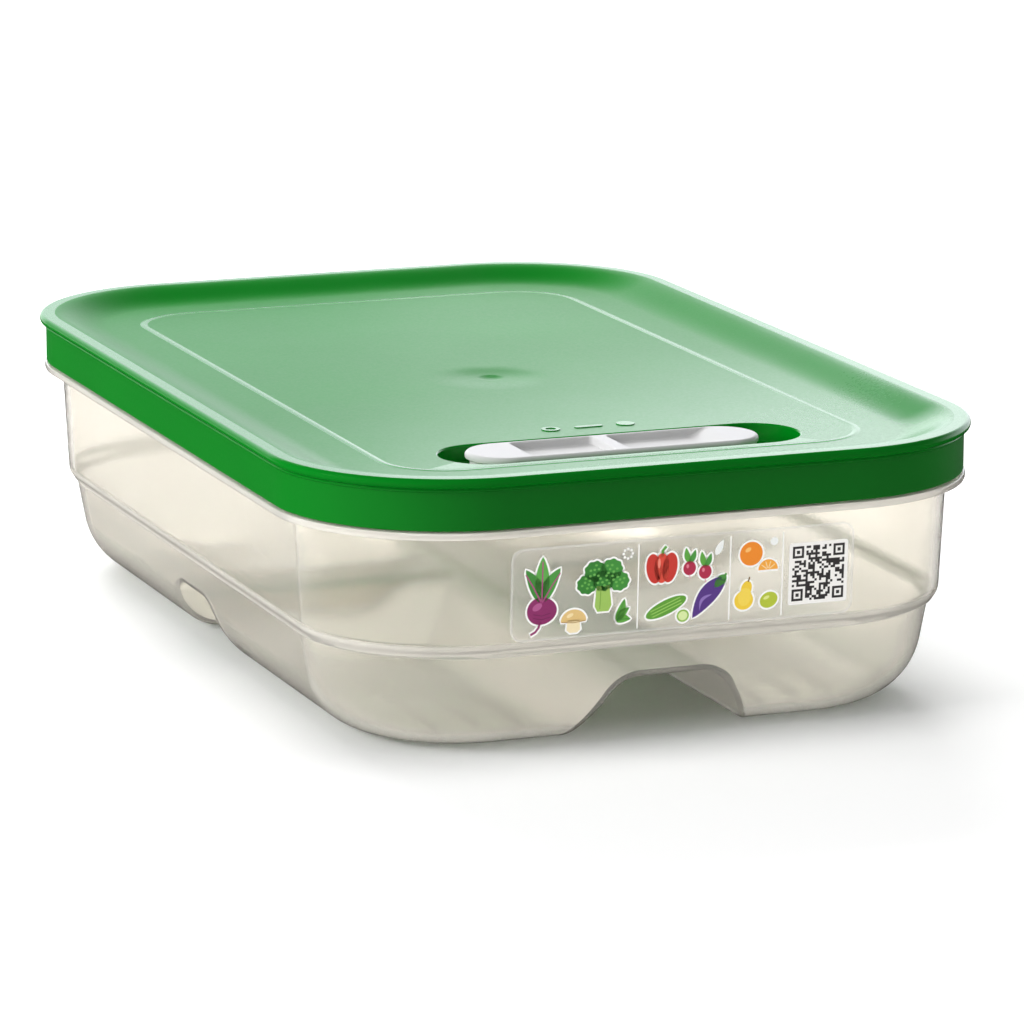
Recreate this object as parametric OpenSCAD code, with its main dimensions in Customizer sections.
/* [Overall size] */
// Width across the lid lip, left to right
lid_w = 176; // [164:1:200]
// Length across the lid lip, front to back
lid_l = 268; // [250:1:320]
// Height from the table to the top of the lid rim
total_h = 69; // [66:1:90]
// Corner radius of the lid lip, seen from above
corner_r = 44; // [42:1:52]

/* [Lid] */
// Wall thickness of the lid
lid_t = 1.5; // [1.2:0.1:1.8]
// Height of the rounded lip round the lid
lip_h = 2.4; // [2:0.1:3]
// How far the lip stands out past the skirt
lip_over = 1.6; // [1.2:0.1:2]
// Depth of the skirt, from the rim top to the skirt's lower edge
skirt_h = 12.5; // [11:0.1:15]
// Depth of the inner sealing wall, from the rim top
plug_h = 9.5; // [8:0.1:11]
// How far the panel lies below the rim
panel_drop = 3.7; // [2.5:0.1:4.5]
// Where the rim starts to fall to the panel, inward from the lip
rim_flat = 4.5; // [3.6:0.1:5.5]
// Width of the slope from the rim down to the panel
rim_slope_w = 11.5; // [8:0.5:14]
// Distance of the stacking line in from the lip
line_in = 26.8; // [22:0.1:28]
// Width of the stacking line
line_w = 1.3; // [1:0.1:2]
// Height of the stacking line above the panel
line_h = 0.4; // [0.3:0.1:0.8]

/* [Vent recess] */
// Length of the recess, left to right
recess_w = 91.6; // [91:0.1:96]
// Width of the recess, front to back
recess_l = 23.5; // [22.5:0.1:25]
// Depth of the recess below the panel
recess_d = 4.5; // [4:0.1:6]
// Distance from the lip's front edge to the middle of the recess
recess_from_front = 42.8; // [42:0.1:50]

/* [Vent slider] */
// Length of the slider
slider_w = 74; // [72:0.1:74.4]
// Width of the slider
slider_l = 18.8; // [18:0.1:19.5]
// How far the slider stands above the panel
slider_up = 0.5; // [0.3:0.1:1]
// Running clearance under and beside the slider's moving faces
slide_gap = 0.3; // [0.25:0.05:0.4]
// Rest place of the slider, its middle from the middle of the recess
slider_rest = -2; // [-2.2:0.1:-1.8]
// Travel from rest to the left stop, where the vent is closed
travel_left = 6.4; // [6:0.1:6.4]
// Travel from rest to the right stop, where the vent is fully open
travel_right = 10.4; // [9:0.1:10.4]
// Depth of the finger pockets
pocket_d = 1.8; // [1.5:0.1:2]
// Width of the finger pockets, front to back
pocket_l = 15.2; // [14:0.1:16]
// Length of each finger pocket
pocket_w = 21; // [18:0.1:22]
// Length of the ramp at the right pocket's outer end
pocket_ramp = 6; // [4:0.1:6.6]
// Thickness of the bridge between the two pockets
bridge_w = 3.8; // [3:0.1:5]
// How far the bridge lies left of the slider's middle
bridge_off = 0.5; // [0:0.1:2]
// Distance of each group of vent slots from the middle of the recess
vent_from_mid = 14; // [13.7:0.1:14.3]
// Number of vent slots in each group
slot_count = 3; // [1:1:3]
// Spacing of the vent slots
slot_pitch = 3.6; // [3.2:0.1:3.8]
// Width of one vent slot
slot_w = 2; // [1.5:0.1:2.2]
// Length of one vent slot
slot_l = 10; // [6:0.5:11]
// How far a sealing pad under the slider reaches past its slots all round
pad_lap = 1; // [0.6:0.1:1.4]

/* [Container] */
// Wall thickness of the container
wall_t = 1.7; // [1.4:0.1:2]
// Thickness of the rim flange under the lid
flange_t = 1.9; // [1.5:0.1:2.5]
// How far the flange stands out past the lid skirt
flange_over = 0.4; // [0.2:0.1:1]
// Clearance between the container's rim and the lid
seal_gap = 0.3; // [0.25:0.05:0.4]
// How far the wall is set back from the lid skirt
wall_back = 4.2; // [3.8:0.1:4.6]
// Inward lean of the upper wall, in mm for each mm of height
upper_draft = 0.05; // [0.02:0.01:0.08]
// Height of the upper wall, from the shoulder to the rim flange
upper_wall_h = 27.3; // [26:0.1:28]
// Height of the shoulder's slanted face
shoulder_h = 2.2; // [1.5:0.1:3]
// Depth of the shoulder's step
shoulder_in = 1.1; // [0.8:0.1:1.6]
// Corner radius of the lower body just under the shoulder
low_corner_r = 39; // [37:0.5:42]
// Inward lean of the lower wall, in mm for each mm of height
lower_draft = 0.18; // [0.12:0.01:0.22]
// Radius of the rounded lower edge
foot_r = 17.5; // [14:0.5:18.5]

/* [Underside] */
// Height of the channel that runs front to back
channel_h = 16.4; // [13:0.1:17]
// Height of the channel that runs side to side
cross_h = 15.6; // [12.5:0.1:16.5]
// Width of the flat top of both channels
channel_flat = 15; // [10:0.5:20]
// Slope of the channel walls, in degrees from level
channel_angle = 57; // [50:1:65]
// Radius at the top of the channel walls
channel_top_r = 9; // [7:0.5:10]
// Radius where a channel wall meets a foot
channel_foot_r = 5; // [4:0.5:6]
// Height of the low ribs on the inside floor
rib_h = 1; // [0.6:0.1:1.5]
// Width of one floor rib
rib_w = 1.4; // [1:0.1:2]
// Number of ribs in each foot well
rib_count = 3; // [1:1:3]

/* [Chart label] */
// Width of the label film
label_w = 86.6; // [60:0.1:88]
// Height of the label film
label_h = 22.4; // [15:0.1:23]
// Thickness of the label film
label_t = 0.25; // [0.15:0.05:0.4]
// Corner radius of the label film
label_r = 3; // [1:0.5:5]
// How far the label's middle lies right of the container's middle
label_off = 1.2; // [0:0.1:1.4]
// Gap between the label's lower edge and the shoulder
label_up = 1.2; // [0.8:0.1:2]

/* [Hidden] */
$fn = 96;
// Overlap that makes neighbouring cuts meet cleanly
over = 0.5;

// Lid levels
skirt_z = total_h - skirt_h;
deck_z = total_h - lid_t;
panel_z = total_h - panel_drop;
lip_line_h = 0.9;
lip_line_in = 0.3;
plug_t = 1.3;
// Rim and flange of the container, as insets from the lip's outer edge
rim_out = lip_over + wall_back - 0.2;
rim_in = rim_out + wall_t;
rim_z = deck_z - seal_gap;
flange_z = skirt_z - seal_gap;
flange_in = lip_over - flange_over;
plug_out = rim_in + seal_gap;
// Upper wall of the container, under the flange
wall_top_z = flange_z - flange_t;
wall_top_in = lip_over + wall_back;
wall_low_in = wall_top_in + upper_wall_h * upper_draft;
shoulder_z = wall_top_z - upper_wall_h;
shoulder_low_z = shoulder_z - shoulder_h;
low_in = wall_low_in + shoulder_in + 0.15;
low_w = lid_w - 2 * low_in;
low_l = lid_l - 2 * low_in;
// Height of the ledge inside, over the shoulder
ledge_z = shoulder_low_z + wall_t;
lower_lean = atan(lower_draft);
// Centre of the lower edge's arc, inward from the lower body's outline
foot_c = (shoulder_low_z - foot_r * (1 - sin(lower_lean))) * lower_draft + foot_r * cos(lower_lean);
foot_steps = 10;
// Gate mark near the middle of the panel
gate_y = -5;
gate_d = 3;
gate_depth = 0.35;
// Vent
vent_y = -lid_l / 2 + recess_from_front;
recess_z = panel_z - recess_d;
slider_x = slider_rest;
slider_z0 = recess_z + slide_gap;
slider_z1 = panel_z + slider_up;
bridge_x = slider_x - bridge_off;
pocket_xl = bridge_x - bridge_w / 2 - pocket_w / 2;
pocket_xr = bridge_x + bridge_w / 2 + pocket_w / 2;
// Each sealing pad closes one group of slots when the slider is at its left stop
vent_xs = [-vent_from_mid, vent_from_mid];
pad_xs = [for (x = vent_xs) x + travel_left];
pad_w = (slot_count - 1) * slot_pitch + slot_w + 2 * pad_lap;
pad_l = slot_l + 2 * pad_lap;
slider_wall = 1.4;
slider_edge_r = 1;
slider_top_t = 1.3;
hook_w = 2.4;
hook_l = 7;
hook_t = 1.3;
hook_barb = 0.8;
hook_barb_h = 1.2;
hook_end = 5.8;
hook_xs = [slider_x - slider_w / 2 + hook_end, slider_x + slider_w / 2 - hook_end - hook_w / 2];
relief_gap = 2.2;
// Ribs and feet
foot_y = low_l / 2 - foot_c;
rib_x0 = 31;
rib_pitch = 10;
rib_y0 = 33;

// The four corners and four sides of a rounded rectangle, swept with the drawn
// outline. In the outline, x is the distance inward and y is the height.
module sweep_round(w, l, r) {
    for (k = [0:3]) {
        out = k % 2 == 0 ? w / 2 : l / 2;
        run = k % 2 == 0 ? l / 2 - r : w / 2 - r;
        rotate([0, 0, 90 * k]) {
            translate([out - r, run, 0])
                rotate_extrude(angle = 90)
                    intersection() {
                        translate([r, 0]) mirror([1, 0]) children();
                        translate([0, -lid_l]) square(2 * lid_l);
                    }
            if (run > 0.01)
                translate([out, run, 0])
                    rotate([90, 0, 0])
                        linear_extrude(2 * run) mirror([1, 0]) children();
        }
    }
}

// The same sweep closed by a block in the middle. The outline has to reach r.
module sweep_solid(w, l, r, z0, z1) {
    sweep_round(w, l, r) children();
    if (w > 2 * r + 0.01 && l > 2 * r + 0.01)
        translate([r - w / 2, r - l / 2, z0])
            cube([w - 2 * r, l - 2 * r, z1 - z0]);
}

// Points of an arc: centre, radius, first and last angle, steps
function arc(cx, cy, r, a0, a1, n) = [
    for (i = [0:n]) [cx + r * cos(a0 + (a1 - a0) * i / n), cy + r * sin(a0 + (a1 - a0) * i / n)]
];

// Height of the lid's top face at an inset from the lip
function lid_top(i) =
    let (u = min(1, max(0, (i - rim_flat) / rim_slope_w)))
    total_h - panel_drop * (1 - cos(180 * u)) / 2;

// Lid section: lip, skirt, seat for the rim, sealing wall and panel
module lid_section() {
    n = 10;
    slope = [for (i = [0:n]) rim_flat + rim_slope_w * i / n];
    plug_in = plug_out + plug_t;
    under = [for (i = slope) if (i > plug_in + 0.2) i];
    polygon(concat(
        arc(lip_h / 2, total_h - lip_h / 2, lip_h / 2, 270, 90, 10),
        [for (i = slope) [i, lid_top(i)]],
        [[corner_r, panel_z], [corner_r, panel_z - lid_t]],
        [for (k = [len(under) - 1:-1:0]) [under[k], lid_top(under[k]) - lid_t]],
        [
            [plug_in, lid_top(plug_in) - lid_t],
            [plug_in, total_h - plug_h + 0.5],
            [plug_in - 0.4, total_h - plug_h],
            [plug_out + 0.5, total_h - plug_h],
            [plug_out, total_h - plug_h + 0.9],
            [plug_out, deck_z],
            [lip_over + lid_t, deck_z],
            [lip_over + lid_t, skirt_z + 0.3],
            [lip_over + lid_t - 0.3, skirt_z],
            [lip_over + 0.4, skirt_z],
            [lip_over, skirt_z + 0.4],
            [lip_over, total_h - lip_h - lip_line_h],
            [lip_over - lip_line_in, total_h - lip_h - lip_line_h + 0.15],
            [lip_over - lip_line_in, total_h - lip_h]
        ]
    ));
}

// Low rounded line on the panel that locates a box stacked on top
module line_section() {
    polygon([
        [line_in - 0.3, panel_z - 0.3],
        [line_in, panel_z + 0.7 * line_h],
        [line_in + 0.25 * line_w, panel_z + line_h],
        [line_in + 0.75 * line_w, panel_z + line_h],
        [line_in + line_w, panel_z + 0.7 * line_h],
        [line_in + line_w + 0.3, panel_z - 0.3]
    ]);
}

// A stadium block lying along X
module stadium(w, l, z0, z1) {
    sweep_solid(w, l, l / 2, z0, z1)
        translate([0, z0]) square([l / 2, z1 - z0]);
}

// Centres of one group of vent slots
function slot_places(cx) = [for (i = [0:slot_count - 1]) cx + (i - (slot_count - 1) / 2) * slot_pitch];

module vent_slots() {
    for (cx = vent_xs)
        for (x = slot_places(cx))
            translate([x - slot_w / 2, vent_y - slot_l / 2, recess_z - lid_t - over])
                cube([slot_w, slot_l, lid_t + 2 * over]);
}

// Long slots in the recess floor that the slider's hooks run in
module guide_slots() {
    for (x = hook_xs)
        translate([
            x - hook_w / 2 - travel_left - slide_gap,
            vent_y - hook_l / 2 - slide_gap,
            recess_z - lid_t - over
        ])
            cube([hook_w + travel_left + travel_right + 2 * slide_gap, hook_l + 2 * slide_gap, lid_t + 2 * over]);
}

module lid() {
    color("forestgreen")
        difference() {
            union() {
                sweep_solid(lid_w, lid_l, corner_r, panel_z - lid_t, panel_z) lid_section();
                sweep_round(lid_w, lid_l, corner_r) line_section();
                translate([0, vent_y, 0])
                    stadium(recess_w + 2 * lid_t, recess_l + 2 * lid_t, recess_z - lid_t, panel_z - lid_t / 2);
            }
            translate([0, vent_y, 0])
                stadium(recess_w, recess_l, recess_z, panel_z + 2);
            vent_slots();
            guide_slots();
            gate_mark();
        }
}

// Shallow dimple where the mould's gate fed the panel
module gate_mark() {
    translate([0, gate_y, panel_z - gate_depth])
        cylinder(h = gate_depth + over, d1 = gate_d, d2 = gate_d + 8 * (gate_depth + over));
}

// Slider section: a plate with softened edges, drawn to half its width
module slider_section() {
    h = slider_z1 - slider_z0;
    translate([0, slider_z0])
        polygon(concat(
            [[0.3, 0], [0, 0.3]],
            arc(slider_edge_r, h - slider_edge_r, slider_edge_r, 180, 90, 8),
            [[slider_l / 2, h], [slider_l / 2, 0]]
        ));
}

// Left pocket with upright ends
module left_pocket() {
    translate([pocket_xl - pocket_w / 2, vent_y - pocket_l / 2, slider_z1 - pocket_d])
        cube([pocket_w, pocket_l, pocket_d + over]);
}

// Right pocket with a soft ramp at its outer end
module right_pocket() {
    steps = 8;
    translate([pocket_xr - pocket_w / 2, vent_y + pocket_l / 2, slider_z1 - pocket_d])
        rotate([90, 0, 0])
            linear_extrude(pocket_l)
                polygon(concat(
                    [[0, pocket_d + over], [0, 0]],
                    [for (i = [0:steps])
                        [pocket_w + pocket_ramp * i / steps, pocket_d * (1 - cos(180 * i / steps)) / 2]],
                    [[pocket_w + pocket_ramp, pocket_d + over]]
                ));
}

// Snap hook: two prongs through the guide slot, barbed under the recess floor
module snap_hook(x) {
    z_low = recess_z - lid_t - slide_gap;
    for (s = [-1, 1])
        translate([x - hook_w / 2, vent_y, 0])
            rotate([90, 0, 90])
                linear_extrude(hook_w)
                    polygon([
                        [s * (hook_l / 2 - hook_t), slider_z1 - slider_top_t + 0.4],
                        [s * (hook_l / 2 - hook_t), z_low - hook_barb_h],
                        [s * (hook_l / 2 - 0.4), z_low - hook_barb_h],
                        [s * (hook_l / 2 + hook_barb), z_low - 0.3],
                        [s * (hook_l / 2 + hook_barb), z_low],
                        [s * hook_l / 2, z_low],
                        [s * hook_l / 2, slider_z1 - slider_top_t + 0.4]
                    ]);
}

module vent_slider() {
    inner_w = slider_w - 2 * slider_wall;
    inner_l = slider_l - 2 * slider_wall;
    pocket_floor_z = slider_z1 - pocket_d - slider_top_t;
    color("whitesmoke") {
        difference() {
            translate([slider_x, vent_y, 0])
                sweep_solid(slider_w, slider_l, slider_l / 2, slider_z0, slider_z1) slider_section();
            left_pocket();
            right_pocket();
            // Hollow underside, shallow under the pockets and deep under the ends
            difference() {
                translate([slider_x, vent_y, 0])
                    stadium(inner_w, inner_l, slider_z0 - over, pocket_floor_z);
                sealing_pads(pocket_floor_z + over);
            }
            deep_relief(pocket_floor_z - over);
        }
        for (x = hook_xs) snap_hook(x);
    }
}

// Blocks under the pockets that cover the vent slots when the vent is closed
module sealing_pads(z1) {
    for (x = pad_xs)
        translate([x - pad_w / 2, vent_y - pad_l / 2, slider_z0 - 2 * over])
            cube([pad_w, pad_l, z1 - slider_z0 + 2 * over]);
}

// Deep hollows under the two ends, clear of the pockets above
module deep_relief(z0) {
    z1 = slider_z1 - slider_top_t;
    inner_l = slider_l - 2 * slider_wall - 1;
    left_end = slider_x - slider_w / 2 + slider_wall + relief_gap;
    right_end = slider_x + slider_w / 2 - slider_wall - relief_gap;
    left_wall = pocket_xl - pocket_w / 2 - slider_wall;
    right_wall = pocket_xr + pocket_w / 2 + pocket_ramp + slider_wall;
    for (span = [[left_end, left_wall], [right_wall, right_end]])
        if (span[1] - span[0] > 2)
            translate([span[0], vent_y - inner_l * 0.36, z0])
                cube([span[1] - span[0], inner_l * 0.72, z1 - z0]);
}

// Upper body section, from the rim down to the shoulder
module upper_outer_section() {
    polygon([
        [rim_out + 0.5, rim_z],
        [rim_out, rim_z - 0.6],
        [rim_out, flange_z],
        [flange_in + 0.5, flange_z],
        [flange_in, flange_z - 0.5],
        [flange_in, wall_top_z + 0.6],
        [flange_in + 0.6, wall_top_z],
        [wall_top_in, wall_top_z],
        [wall_low_in, shoulder_z],
        [wall_low_in + 0.25 * shoulder_in, shoulder_z - 0.35 * shoulder_h],
        [wall_low_in + shoulder_in, shoulder_low_z],
        [corner_r, shoulder_low_z],
        [corner_r, rim_z]
    ]);
}

// Inner face of the upper body, from the ledge up past the rim
module upper_inner_section() {
    ledge_in = wall_top_in + (wall_top_z - ledge_z) * upper_draft + wall_t;
    polygon([
        [rim_in - 0.5, rim_z + 0.02],
        [rim_in - 0.5, rim_z + over],
        [corner_r, rim_z + over],
        [corner_r, ledge_z],
        [ledge_in, ledge_z],
        [wall_top_in + wall_t, wall_top_z],
        [rim_in, wall_top_z + 2],
        [rim_in, rim_z - 0.6]
    ]);
}

// Lower body section. A growth of zero is the outside, and minus the wall
// thickness is the inside.
module lower_section(grow, top) {
    r = foot_r + grow;
    cx = foot_c;
    start = [cx - r * cos(lower_lean), foot_r - r * sin(lower_lean)];
    polygon(concat(
        [[start[0] - (top - start[1]) * lower_draft, top]],
        arc(cx, foot_r, r, 180 + lower_lean, 270, foot_steps),
        [[low_corner_r, foot_r - r], [low_corner_r, top]]
    ));
}

// Cross-section of an underside channel, grown by the wall for its roof
module bell(h, grow) {
    rt = channel_top_r + grow;
    rb = channel_foot_r - grow;
    half = channel_flat / 2;
    z_t = h - channel_top_r;
    // The centre of the foot's radius, found along the sloping wall
    drop = z_t - channel_foot_r + (channel_top_r + channel_foot_r) * cos(channel_angle);
    x_b = half + (channel_top_r + channel_foot_r) * sin(channel_angle) + drop / tan(channel_angle);
    last = 8;
    right = concat(
        arc(half, z_t, rt, 90, 90 - channel_angle, 8),
        arc(x_b, channel_foot_r, rb, 270 - channel_angle, 270 - last, 6)
    );
    tail = right[len(right) - 1];
    tail_z = -2;
    end = [tail[0] + (tail[1] - tail_z) / tan(last), tail_z];
    pts = concat(right, [end]);
    polygon(concat(pts, [for (k = [len(pts) - 1:-1:0]) [-pts[k][0], pts[k][1]]]));
}

module channels(grow) {
    translate([0, lid_l / 2, 0]) rotate([90, 0, 0]) linear_extrude(lid_l) bell(channel_h, grow);
    translate([-lid_w / 2, 0, 0]) rotate([90, 0, 90]) linear_extrude(lid_w) bell(cross_h, grow);
}

// Low ribs that lift the produce off the floor of each foot well
module floor_ribs() {
    for (sx = [-1, 1], sy = [-1, 1], i = [0:rib_count - 1]) {
        x = rib_x0 + i * rib_pitch;
        len_y = foot_y - rib_y0 - 2 - i * 1.5;
        translate([sx * x - rib_w / 2, sy > 0 ? rib_y0 : -rib_y0 - len_y, wall_t - 0.4])
            cube([rib_w, len_y, rib_h + 0.4]);
    }
}

module container() {
    color("gainsboro") {
        difference() {
            union() {
                sweep_solid(lid_w, lid_l, corner_r, shoulder_low_z, rim_z) upper_outer_section();
                sweep_solid(low_w, low_l, low_corner_r, 0, shoulder_low_z + 1)
                    lower_section(0, shoulder_low_z + 1);
            }
            sweep_solid(lid_w, lid_l, corner_r, ledge_z, rim_z + over) upper_inner_section();
            difference() {
                sweep_solid(low_w, low_l, low_corner_r, wall_t, ledge_z + 1)
                    lower_section(-wall_t, ledge_z + 1);
                channels(wall_t);
            }
            channels(0);
        }
        floor_ribs();
    }
}

module chart_label() {
    lean = atan(upper_draft);
    color("lavender")
        translate([label_off, -lid_l / 2 + wall_low_in - 0.02, shoulder_z])
            rotate([lean, 0, 0])
                translate([0, 0, label_up + label_h / 2])
                    rotate([90, 0, 0])
                        sweep_solid(label_w, label_h, label_r, 0, label_t)
                            square([label_r, label_t]);
}

container();
lid();
vent_slider();
chart_label();
